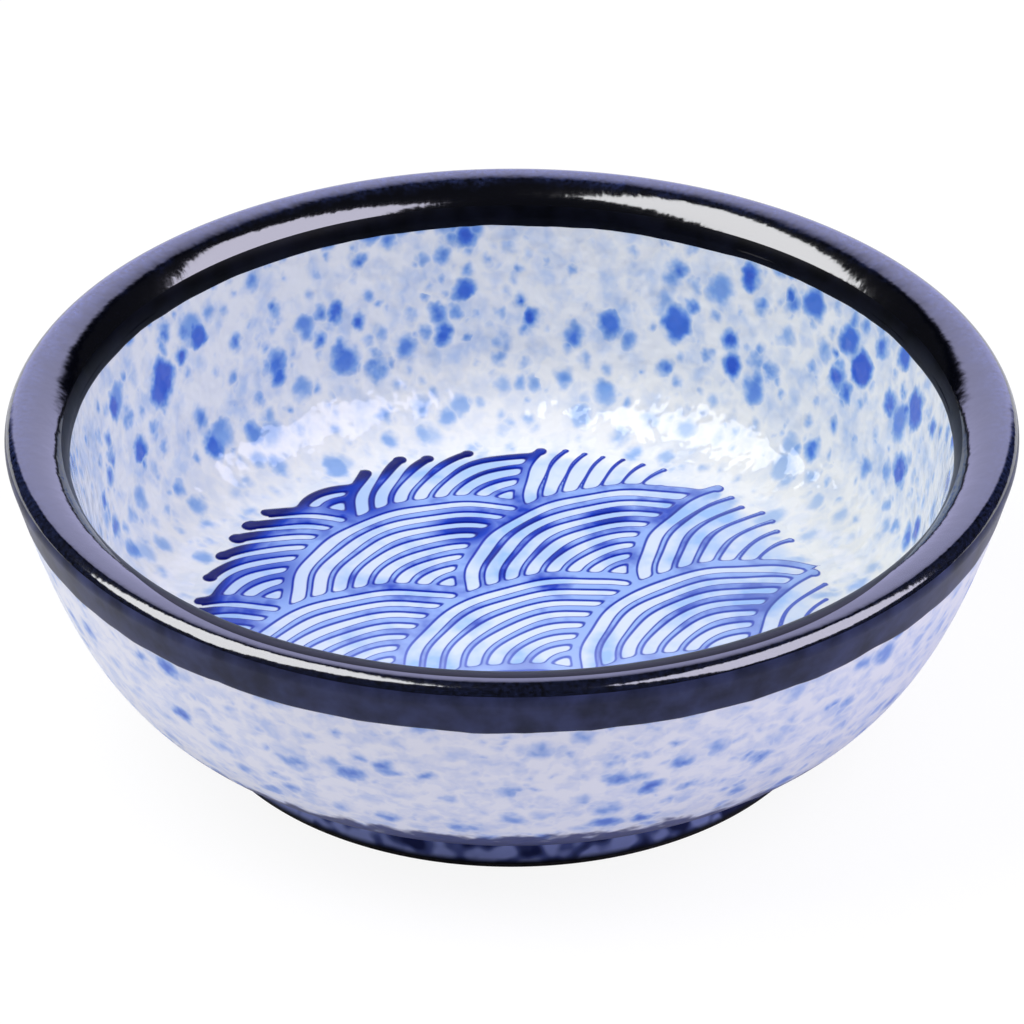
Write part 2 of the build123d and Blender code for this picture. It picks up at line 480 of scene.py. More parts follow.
@dataclass(frozen=True)
class LipGlaze:
    """Tenmoku-dark iron glaze: near black and mirror-bright, blue grains where it thins over the edge, which
    also paint a lavender sheen at the back.
    """

    height: float
    radius: float
    name: str = "lip tenmoku glaze"
    black: str = "#04050B"
    grain_and_sheen: str = "#46548C"
    rust: str = "#4A2428"
    haze_width: float = 4.0
    haze_ragged: float = 2.6
    haze_cloud: float = 2.0
    haze_past: float = 0.9
    grit_width: float = 0.4
    grit_span: Point = (0.3, 0.75)
    grit_share: float = 0.1
    # Painted sheen: where the grains fade from the front to the back, and how much of them the front keeps
    painted_sheen_span: Point = (-30.0, 25.0)
    painted_sheen_front: float = 0.12
    rust_drop: float = 1.9
    rust_width: float = 0.35
    rust_inset: float = 1.0
    rust_share: float = 0.8
    roughness: float = 0.1
    ior: float = 2.25
    ripple: float = 0.06
    ripple_width: float = 2.5

    def hazed(self, tree: Tree, place: Node, radius: Socket, grit: Node) -> Node:
        """Colour of the glaze with its blue grains, which also paint a sheen: strongest at the back, where
        the backdrop's reflection falls, and dim at the front.

        Args:
            tree: Node tree of the glaze.
            place: Place of a point in millimetres.
            radius: Its distance from the axis.
            grit: Fine noise of the grains.

        Returns:
            The colour.
        """
        back = add_node(tree, "SeparateXYZ", {0: place}).outputs["Y"]
        cloud = add_node(tree, "TexNoise", {"Vector": place, "Scale": 1 / self.haze_cloud, "Detail": 3.0})
        ragged = add_node(tree, "Math", {0: cloud, 1: self.haze_ragged, 2: radius}, operation="MULTIPLY_ADD")
        inner = self.radius + self.haze_ragged / 2 - self.haze_width
        limits = {"Value": ragged, "From Min": inner, "From Max": self.radius + self.haze_past}
        thin = add_node(tree, "MapRange", limits, **EASED)
        limits = {"Value": grit, "From Min": self.grit_span[0], "From Max": self.grit_span[1]}
        grains = add_node(tree, "MapRange", limits)
        haze = add_node(tree, "Math", {0: grains, 1: thin}, operation="MULTIPLY")
        # Painted sheen: the grains keep full strength only towards the back, standing in for the backdrop's
        # reflection, and fade at the front
        limits = {"Value": back, "From Min": self.painted_sheen_span[0], "From Max": self.painted_sheen_span[1]}
        far = add_node(tree, "MapRange", {**limits, "To Min": self.painted_sheen_front}, **EASED)
        haze = add_node(tree, "Math", {0: haze, 1: far}, operation="MULTIPLY")
        return add_node(tree, "ValToRGB", {"Fac": haze}, {0.0: self.black, 1.0: self.grain_and_sheen})

    def build(self) -> Material:
        """Makes the glaze's material, with a line of rust round the outer edge.

        Returns:
            The material.
        """
        material, tree, place = new_material(self.name)
        grit = add_node(tree, "TexNoise", {"Vector": place, "Scale": 1 / self.grit_width, "Detail": 3.0})
        radius = off_axis(tree, place)
        glaze = self.hazed(tree, place, radius, grit)
        height = add_node(tree, "SeparateXYZ", {0: place}).outputs["Z"]
        apart = add_node(tree, "Math", {0: height, 1: self.height - self.rust_drop}, operation="SUBTRACT")
        apart = add_node(tree, "Math", {0: apart}, operation="ABSOLUTE")
        limits = {"Value": apart, "From Min": self.rust_width, "From Max": 0.0, "To Max": self.rust_share}
        line = add_node(tree, "MapRange", limits, **EASED)
        outside = {0: radius, 1: self.radius - self.rust_inset}
        outside = add_node(tree, "Math", outside, operation="GREATER_THAN")
        line = add_node(tree, "Math", {0: line, 1: outside}, operation="MULTIPLY")
        colour = add_node(tree, "Mix", {0: line, 6: glaze, 7: linear(self.rust)}, data_type="RGBA").outputs[2]
        ripple = add_node(tree, "TexNoise", {"Vector": place, "Scale": 1 / self.ripple_width, "Detail": 2.5})
        grainy = add_node(tree, "Math", {0: grit, 1: self.grit_share, 2: ripple}, operation="MULTIPLY_ADD")
        inputs = {"Base Color": colour, "Roughness": self.roughness, "IOR": self.ior}
        shine(tree, inputs, grainy, self.ripple)
        return material


@dataclass(frozen=True)
class BandGlaze:
    """The same dark glaze run thin: satin slate blue, mottled where the white ground grins through."""

    name: str = "outer band tenmoku glaze"
    dark: str = "#20243A"
    slate: str = "#343A5C"
    mottle: float = 3.0
    roughness: float = 0.32
    ior: float = 1.18
    ripple: float = 0.03

    def build(self) -> Material:
        """Makes the glaze's material.

        Returns:
            The material.
        """
        material, tree, place = new_material(self.name)
        clouds = add_node(tree, "TexNoise", {"Vector": place, "Scale": 1 / self.mottle, "Detail": 3.0})
        colour = add_node(tree, "ValToRGB", {"Fac": clouds}, {0.35: self.dark, 0.68: self.slate})
        inputs = {"Base Color": colour, "Roughness": self.roughness, "IOR": self.ior}
        shine(tree, inputs, clouds, self.ripple)
        return material


@dataclass(frozen=True)
class FootGlaze:
    """Dark cobalt wash of the foot: grey lavender where thin, blotched navy, and going black at its lower
    edge as painted contact shade.
    """

    name: str = "foot cobalt wash"
    thin: str = "#98A4DA"
    wash: str = "#58649C"
    navy: str = "#1A2250"
    black: str = "#08090E"
    blotch: float = 2.6
    blotch_span: Point = (0.38, 0.62)
    painted_shade_edge: Point = (1.7, 0.9)
    roughness: float = 0.4
    ior: float = 1.2
    ripple: float = 0.04

    def build(self) -> Material:
        """Makes the glaze's material.

        Returns:
            The material.
        """
        material, tree, place = new_material(self.name)
        height = add_node(tree, "SeparateXYZ", {0: place}).outputs["Z"]
        clouds = add_node(tree, "TexNoise", {"Vector": place, "Scale": 1 / self.blotch, "Detail": 1.0})
        limits = {"Value": clouds, "From Min": self.blotch_span[0], "From Max": self.blotch_span[1]}
        blotches = add_node(tree, "MapRange", limits, **EASED)
        stops = {0.0: self.thin, 0.45: self.wash, 1.0: self.navy}
        colour = add_node(tree, "ValToRGB", {"Fac": blotches}, stops)
        # Painted contact shade: the wash goes to black towards the floor
        limits = {"Value": height, "From Min": self.painted_shade_edge[0], "From Max": self.painted_shade_edge[1]}
        low = add_node(tree, "MapRange", limits, **EASED)
        darkened = {0: low, 6: colour, 7: linear(self.black)}
        colour = add_node(tree, "Mix", darkened, data_type="RGBA").outputs[2]
        inputs = {"Base Color": colour, "Roughness": self.roughness, "IOR": self.ior}
        shine(tree, inputs, clouds, self.ripple)
        return material


@dataclass(frozen=True)
class BareClay:
    """Unglazed stoneware: dark and matt by default, with fine grit standing out of it."""

    name: str
    body: str = "#4A423D"
    grit: str = "#2C2623"
    grit_size: float = 0.5
    grit_rise: float = 0.05
    roughness: float = 0.85

    def build(self) -> Material:
        """Makes the clay's material.

        Returns:
            The material.
        """
        material, tree, place = new_material(self.name)
        grit = add_node(tree, "TexNoise", {"Vector": place, "Scale": 1 / self.grit_size, "Detail": 4.0})
        colour = add_node(tree, "ValToRGB", {"Fac": grit}, {0.38: self.grit, 0.62: self.body})
        shine(tree, {"Base Color": colour, "Roughness": self.roughness}, grit, self.grit_rise)
        return material


@dataclass(frozen=True)
class CobaltStrokes:
    """Cobalt brush strokes under clear glaze: pigment dark along each edge, thin watery wash between."""

    ground: SpeckledGlaze
    radius: float
    name: str = "cobalt strokes under glaze"
    white: str = "#D1DDE9"
    tint: str = "#9CBFEA"
    line: str = "#203AA6"
    deep_line: str = "#1028A0"
    pale_line: str = "#8094DA"
    navy: str = "#070D60"
    vivid: str = "#123AB2"
    wash: str = "#90AEE4"
    pale_wash: str = "#A8BDE4"
    near: Point = (4.0, -16.0)
    near_share: float = 0.85
    right: Point = (8.0, 28.0)
    right_share: float = 0.35
    patch_width: float = 5.0
    patch_span: Point = (0.44, 0.66)
    patch_share: float = 0.66
    ground_edge: Point = (2.5, 0.5)
    line_depth: Point = (0.14, 0.28)
    paint_depth: Point = (-0.1, 0.06)
    roughness: float = 0.1
    ior: float = 1.33

    def thinned(self, tree: Tree, xyz: Any) -> Node:
        """How far the pigment thins out, towards the front and the right.

        Args:
            tree: Node tree of the strokes.
            xyz: Sockets of a point's place in millimetres.

        Returns:
            Share from 0 to 1.
        """
        limits = {"Value": xyz["Y"], "From Min": self.near[0], "From Max": self.near[1]}
        front = add_node(tree, "MapRange", {**limits, "To Max": self.near_share}, **EASED)
        limits = {"Value": xyz["X"], "From Min": self.right[0], "From Max": self.right[1]}
        right = add_node(tree, "MapRange", {**limits, "To Max": self.right_share}, **EASED)
        return add_node(tree, "Math", {0: front, 1: right}, operation="MAXIMUM")

    def bare(self, tree: Tree, place: Node, stain: Node) -> Socket:
        """Colour of the bare cells, and of the speckled ground round the medallion.

        Args:
            tree: Node tree of the strokes.
            place: Place of a point in millimetres.
            stain: How far blue has run into the cells.

        Returns:
            The colour.
        """
        cell = add_node(tree, "ValToRGB", {"Fac": stain}, {0.0: self.white, 1.0: self.tint})
        start, end = [self.radius - inset for inset in self.ground_edge]
        limits = {"Value": off_axis(tree, place), "From Min": start, "From Max": end}
        outside = add_node(tree, "MapRange", limits)
        mixed = {0: outside, 6: cell, 7: self.ground.colour(tree, place)}
        return add_node(tree, "Mix", mixed, data_type="RGBA").outputs[2]

    def build(self) -> Material:
        """Makes the painted floor's material.

        Returns:
            The material.
        """
        material, tree, place = new_material(self.name)
        depth = add_node(tree, "Attribute", attribute_name=WaveMedallion.DEPTH).outputs["Fac"]
        ink = add_node(tree, "Attribute", attribute_name=WaveMedallion.INK).outputs["Fac"]
        thinned = self.thinned(tree, add_node(tree, "SeparateXYZ", {0: place}).outputs)
        clouds = add_node(tree, "TexNoise", {"Vector": place, "Scale": 1 / self.patch_width, "Detail": 3.0})
        limits = {"Value": clouds, "From Min": self.patch_span[0], "From Max": self.patch_span[1]}
        patch = add_node(tree, "MapRange", limits)
        stain = add_node(tree, "Math", {0: patch, 1: ink}, operation="MAXIMUM")
        vivid = add_node(tree, "Math", {0: patch, 1: self.patch_share}, operation="MULTIPLY")
        water = add_node(tree, "Math", {0: vivid, 1: ink}, operation="MAXIMUM")

        # A wash between two dark lines makes up each stroke, and both turn pale where the pigment thins
        wash = {0.0: self.wash, 0.62: self.vivid, 1.0: self.navy}
        line = {0.0: self.line, 0.45: self.deep_line, 1.0: self.navy}
        coats = []
        for stops, pale in ((line, self.pale_line), (wash, self.pale_wash)):
            full = add_node(tree, "ValToRGB", {"Fac": water}, stops)
            mixed = {0: thinned, 6: full, 7: linear(pale)}
            coats.append(add_node(tree, "Mix", mixed, data_type="RGBA").outputs[2])
        limits = {"Value": depth, "From Min": self.line_depth[0], "From Max": self.line_depth[1]}
        inside = add_node(tree, "MapRange", limits, **EASED)
        painted = add_node(tree, "Mix", {0: inside, 6: coats[0], 7: coats[1]}, data_type="RGBA").outputs[2]
        limits = {"Value": depth, "From Min": self.paint_depth[0], "From Max": self.paint_depth[1]}
        stroke = add_node(tree, "MapRange", limits, **EASED)
        colour = {0: stroke, 6: self.bare(tree, place, stain), 7: painted}
        colour = add_node(tree, "Mix", colour, data_type="RGBA").outputs[2]
        shine(tree, {"Base Color": colour, "Roughness": self.roughness, "IOR": self.ior})
        return material


@dataclass
class Bowl:
    """Turned bowl: white glaze inside and out, and the dark band over its rim."""

    rim_radius: float
    height: float
    floor: float
    foot_radius: float
    foot_height: float
    glaze: float = 0.4
    lip_edge: float = 1.5
    lip_roll: float = 4.5
    band_depth: float = 4.9
    outer_lean: float = 15.0
    inner_lean: float = 11.0
    floor_fillet: float = 8.5
    belly_out: float = 2.1
    belly_under: float = 1.94
    wall_pull: float = 17.6
    pool_radius: float = 1.2
    pool_rise: float = 0.19
    band_proud: float = 0.05
    band_lap: float = 0.35
    lap_round: tuple[Point, ...] = ((0.5, 0.7), (1.0, 0.2))
    band_wander: float = 0.16
    wander_waves: float = 9.0
    wander_apart: float = 40.0
    wander_fall: float = 0.8
    wander_step: float = 2.0
    wander_octaves: int = 3
    dye_rise: float = 4.3
    mirror_start: float = 24.0
    mirror_end: float = 146.0
    # At the front the dark satin coat reaches almost to the crest: painted shade in place of the roll's
    # reflection
    painted_shade_front: float = 94.0
    painted_shade_from: float = 0.3
    painted_shade_over: float = 0.6
    mirror_row: int = 8
    roll_rows: int = 26
    roll_slack: float = 0.01
    lip_rows: int = 18
    corner_rows: int = 24
    floor_runs: int = 8
    wall_runs: int = 14
    belly_runs: int = 40

    def __post_init__(self) -> None:
        """Works out the section's centres from its sizes."""
        sweep = 90 - self.inner_lean
        self.lip_centre = (self.rim_radius - self.lip_edge, self.height - self.lip_edge)
        self.roll_centre = (self.rim_radius - self.lip_edge, self.height - self.lip_roll)
        top = polar(self.roll_centre, self.lip_roll, 90 + sweep)
        foot = top[0] - (top[1] - self.floor) * tan(radians(self.inner_lean))
        share = tan(radians(sweep / 2))
        self.corner = (foot - self.floor_fillet * share, self.floor + self.floor_fillet)
        middle = polar(self.corner, self.floor_fillet, sweep / 2 - 90)
        self.belly_corner = (middle[0] + self.belly_out, middle[1] - self.belly_under)
        pool_height = self.foot_height + self.pool_rise - self.pool_radius - self.glaze
        self.pool = (self.foot_radius + self.pool_radius, pool_height)
        across, up = self.belly_corner[0] - self.pool[0], self.belly_corner[1] - self.pool[1]
        self.slope = degrees(atan2(up, across) - asin(self.pool_radius / hypot(across, up)))

    def band_outside(self, inset: float, lower: float = 0.0) -> Point:
        """Lower edge of the dark band outside, or a point further down the wall.

        Args:
            inset: How far in from the glaze's skin.
            lower: How far below the edge.

        Returns:
            The section's point.
        """
        drop = self.band_depth - self.lip_edge * (1 + sin(radians(self.outer_lean))) + lower
        edge = polar(self.lip_centre, self.lip_edge - inset, -self.outer_lean)
        return polar(edge, -drop / cos(radians(self.outer_lean)), 90 - self.outer_lean)

    def band_inside(self, inset: float, lower: float = 0.0) -> Point:
        """Lower edge of the dark band inside, or a point further down the wall."""
        edge = polar(self.roll_centre, self.lip_roll - inset, 180 - self.inner_lean)
        return polar(edge, -lower, 90 - self.inner_lean)

    def belly(self, inset: float) -> list[Point]:
        """Points up the outside, from the foot to the rim band, along one smooth curve.

        Args:
            inset: How far in from the glaze's skin.

        Returns:
            The section's points.
        """
        start = polar(self.pool, self.pool_radius + inset, 90 + self.slope)
        end = self.band_outside(inset)
        skin = polar(self.pool, self.pool_radius, 90 + self.slope)
        pull = hypot(self.belly_corner[0] - skin[0], self.belly_corner[1] - skin[1])
        wall = polar(end, -self.wall_pull, 90 - self.outer_lean)
        a, b, c, d = np.array([start, polar(start, pull, self.slope), wall, end])
        t = np.linspace(0, 1, self.belly_runs + 1)[:, None]
        curve = (1 - t) ** 3 * a + 3 * t * (1 - t) ** 2 * b + 3 * t**2 * (1 - t) * c + t**3 * d
        return [tuple(point) for point in curve]

    def well_glaze(self) -> Piece:
        """White coat of the inside wall and floor.

        Returns:
            The turned coat.
        """
        wheel = Wheel("well_glaze", (0, self.floor))
        sweep, runs = 90 - self.inner_lean, self.floor_runs
        wheel.line(*[(self.corner[0] * k / runs, self.floor) for k in range(1, runs + 1)])
        wheel.arc(self.corner, sweep, self.corner_rows)
        low, high, runs = np.array(wheel.at), np.array(self.band_inside(0)), self.wall_runs
        wheel.line(*[tuple(low + (high - low) * k / runs) for k in range(1, runs + 1)])
        wheel.line(self.band_inside(self.glaze))
        wheel.line(polar(self.corner, self.floor_fillet + self.glaze, -self.inner_lean))
        wheel.arc(self.corner, -sweep, self.corner_rows)
        wheel.line((0, self.floor - self.glaze))
        return wheel.spin()

    def belly_glaze(self) -> Piece:
        """White coat of the outside.

        Returns:
            The turned coat.
        """
        skin, clay = self.belly(0), self.belly(self.glaze)
        wheel = Wheel("belly_glaze", skin[0])
        wheel.line(*skin[1:], *clay[::-1], skin[0])
        return wheel.spin()

    def rim_band(self) -> Piece:
        """Dark coat over the rim, lapping a little over the white on both sides.

        Returns:
            The turned coat, with its faces sorted among the finishes.
        """
        lap, proud = self.band_lap, -self.band_proud
        start = self.band_outside(self.band_proud, lap)
        wheel = Wheel("rim_band", start)
        wheel.line(*[self.band_outside(proud * out, lap * low) for out, low in self.lap_round])
        wheel.line(self.band_outside(proud, -lap))
        wheel.line(polar(self.lip_centre, self.lip_edge - proud, -self.outer_lean))
        wheel.arc(self.lip_centre, 90 + self.outer_lean, self.lip_rows)
        wheel.arc(self.roll_centre, 90 - self.inner_lean, self.roll_rows)
        wheel.line(*[self.band_inside(proud * out, lap * low) for out, low in self.lap_round[::-1]])
        wheel.line(self.band_inside(self.band_proud, lap), self.band_inside(self.glaze, lap))
        wheel.line(polar(self.roll_centre, self.lip_roll - self.glaze, 180 - self.inner_lean))
        wheel.arc(self.roll_centre, self.inner_lean - 90, self.roll_rows)
        wheel.arc(self.lip_centre, -90 - self.outer_lean, self.lip_rows)
        wheel.line(self.band_outside(self.glaze, lap), start)
        piece = wheel.spin()
        self.shift_rows(piece)
        self.wander_edges(piece)
        outer = polar(self.lip_centre, self.lip_edge, self.mirror_start)[1] * MM
        for face in piece.data.polygons:
            place, coat = face.center, RimCoat.LIP
            if place.xy.length > self.lip_centre[0] * MM:
                coat = RimCoat.OUTSIDE if place.z < outer else RimCoat.LIP
            # Past the limit the inner roll wears the dark satin coat, which over the front of the roll is
            # painted shade
            elif self.roll_place(place)[1] > self.mirror_limit(place):
                coat = RimCoat.INSIDE
            face.material_index = coat.value
        return piece

    def roll_place(self, place: Vector) -> Point:
        """Distance in millimetres and angle in degrees of a place about the middle of the inner roll."""
        across, up = place.xy.length / MM - self.roll_centre[0], place.z / MM - self.roll_centre[1]
        return hypot(across, up), degrees(atan2(up, across)) % 360

    def mirror_limit(self, place: Vector) -> float:
        """Angle round the roll where the mirror-bright glaze gives way to the dark satin coat, nearest the
        crest at the front, where the satin is painted shade.
        """
        front = min(max((-place.y / place.xy.length - self.painted_shade_from) / self.painted_shade_over, 0), 1)
        return self.mirror_end + (self.painted_shade_front - self.mirror_end) * front * front * (3 - 2 * front)

    def shift_rows(self, piece: Piece) -> None:
        """Slides the rows of vertices round the roll, so that one runs where the bright glaze gives way.

        Args:
            piece: The turned band.
        """
        end = 180 - self.inner_lean
        hinge = 90 + (end - 90) * self.mirror_row / self.roll_rows
        for vertex in piece.data.vertices:
            reach, angle = self.roll_place(vertex.co)
            if abs(reach - self.lip_roll - self.band_proud) < self.roll_slack and 90 < angle < end:
                limit = self.mirror_limit(vertex.co)
                moved = float(np.interp(angle, (90, hinge, end), (90, limit, end)))
                radius, height = polar(self.roll_centre, reach, moved)
                vertex.co.xy *= radius * MM / vertex.co.xy.length
                vertex.co.z = height * MM

    def wander_edges(self, piece: Piece) -> None:
        """Lets both lower edges of the band wander up and down, as a dipped glaze does.

        Args:
            piece: The turned band.
        """
        for vertex in piece.data.vertices:
            low = (self.height - self.band_depth + self.band_lap) * MM - vertex.co.z
            if low > 0 or vertex.co.xy.length < self.band_inside(0)[0] * MM + self.band_proud * MM:
                around = vertex.co.xy.normalized() * self.wander_waves
                place = (around.x, around.y, vertex.co.xy.length * self.wander_apart)
                swing = noise.fractal(place, self.wander_fall, self.wander_step, self.wander_octaves)
                vertex.co.z += swing * self.band_wander * MM

    def build(self) -> None:
        """Turns and dresses the bowl's coats."""
        inside = SpeckledGlaze("well speckled glaze", milky_low=self.floor)
        settle(self.well_glaze(), "inner_glaze", Slot.SPECKLED, inside.build())
        outside = SpeckledGlaze(
            "belly speckled glaze", OUTSIDE_SPECKLES, white="#E5E7ED", milky="#D4DAEA", pale="#B6C6E6",
            sky="#8CA8DE", blue="#6486D4", cobalt="#4A6CC6", girth=42.0, run=1.0, bleed=1.1, feather=2.1,
            roughness=0.3, ripple=0.12, ior=1.25, dye_top=self.pool[1] + self.dye_rise,
        )
        settle(self.belly_glaze(), "outer_glaze", Slot.SPECKLED, outside.build())
        lip = LipGlaze(self.height, self.rim_radius)
        # Dark satin coat of the inner roll, painted shade where it reaches up over the front
        inner = BandGlaze("inner rim tenmoku glaze and painted shade", dark="#040509", slate="#0C0E18")
        settle(self.rim_band(), "rim_glaze", Slot.RIM, lip.build(), BandGlaze().build(), inner.build())


@dataclass
class Foot:
    """Foot ring with its dark outside, its bare resting edge and the glazed recess under the dish."""

    bowl: Bowl
    ring_outer: float
    ring_inner: float
    ring_height: float
    bare: float
    ring_round: float = 0.5
    recess_round: float = 0.8
    edge_in: float = 0.15
    edge_low: float = 0.02
    edge_high: float = 0.2
    round_rows: int = 8
    pool_rows: int = 14
    recess_runs: int = 6

    def ring(self) -> Piece:
        """Clay ring that the dish stands on.

        Returns:
            The turned ring.
        """
        r = self.ring_round
        wheel = Wheel("foot_clay", (self.ring_inner, self.ring_height))
        wheel.line((self.ring_inner, r)).arc((self.ring_inner + r, r), 90, self.round_rows)
        wheel.line((self.ring_outer - r, 0)).arc((self.ring_outer - r, r), 90, self.round_rows)
        wheel.line((self.ring_outer, self.ring_height), (self.ring_inner, self.ring_height))
        return wheel.spin()

    def wall_glaze(self) -> Piece:
        """Dark coat of the foot's wall, pooled under the belly.

        Returns:
            The turned coat.
        """
        bowl, skin = self.bowl, self.bowl.foot_radius
        wheel = Wheel("foot_wall_glaze", (self.ring_outer, self.bare))
        wheel.line((skin - self.edge_in, self.bare + self.edge_low), (skin, self.bare + self.edge_high))
        wheel.line((skin, bowl.pool[1]))
        wheel.arc(bowl.pool, bowl.slope - 90, self.pool_rows)
        wheel.line(polar(bowl.pool, bowl.pool_radius + bowl.glaze, 90 + bowl.slope))
        wheel.line((self.ring_outer, self.ring_height), (self.ring_outer, self.bare))
        return wheel.spin()

    def recess_glaze(self) -> Piece:
        """White coat of the hollow under the dish.

        Returns:
            The turned coat.
        """
        skin, top = self.ring_inner - self.bowl.glaze, self.ring_height - self.bowl.glaze
        r, runs = self.recess_round, self.recess_runs
        wheel = Wheel("recess_glaze", (0, self.ring_height))
        wheel.line((self.ring_inner, self.ring_height), (self.ring_inner, self.bare))
        wheel.line((skin + self.edge_in, self.bare + self.edge_low), (skin, self.bare + self.edge_high))
        wheel.line((skin, top - r))
        wheel.arc((skin - r, top - r), 90, self.round_rows)
        wheel.line(*[(skin * k / runs, top) for k in range(runs - 1, -1, -1)])
        return wheel.spin()

    def build(self) -> None:
        """Turns and dresses the foot."""
        # The foot ring's near-black colour is dark clay and painted contact shade where it stands on the
        # floor
        clay = BareClay("bare dark clay and painted shade", body="#2A2422", grit="#171312")
        settle(self.ring(), "foot_ring", Slot.BARE_CLAY, clay.build())
        settle(self.wall_glaze(), "foot_glaze", Slot.FOOT, FootGlaze().build())
        base = SpeckledGlaze("recess speckled glaze", girth=0.0)
        settle(self.recess_glaze(), "base_glaze", Slot.SPECKLED, base.build())


@dataclass(frozen=True)
class EdgeSide:
    """One side of the medallion's edge.

    Attributes:
        way: Way to it from the middle.
        nearness: How near to that way it begins, and where it is full.
        inset: How far in from the edge it begins, and where it is full.
    """

    way: Point
    nearness: Point
    inset: Point

    def share(self, x: np.ndarray, y: np.ndarray, radius: float) -> np.ndarray:
        """How far places lie towards this side of a medallion, from 0 to 1.

        Args:
            x: Places across in millimetres.
            y: Places up in millimetres.
            radius: Radius of the medallion.

        Returns:
            The share at each place.
        """
        reach = np.hypot(x, y)
        near = ease(*self.nearness, (self.way[0] * x + self.way[1] * y) / np.maximum(reach, TINY))
        return near * ease(radius - self.inset[0], radius - self.inset[1], reach)


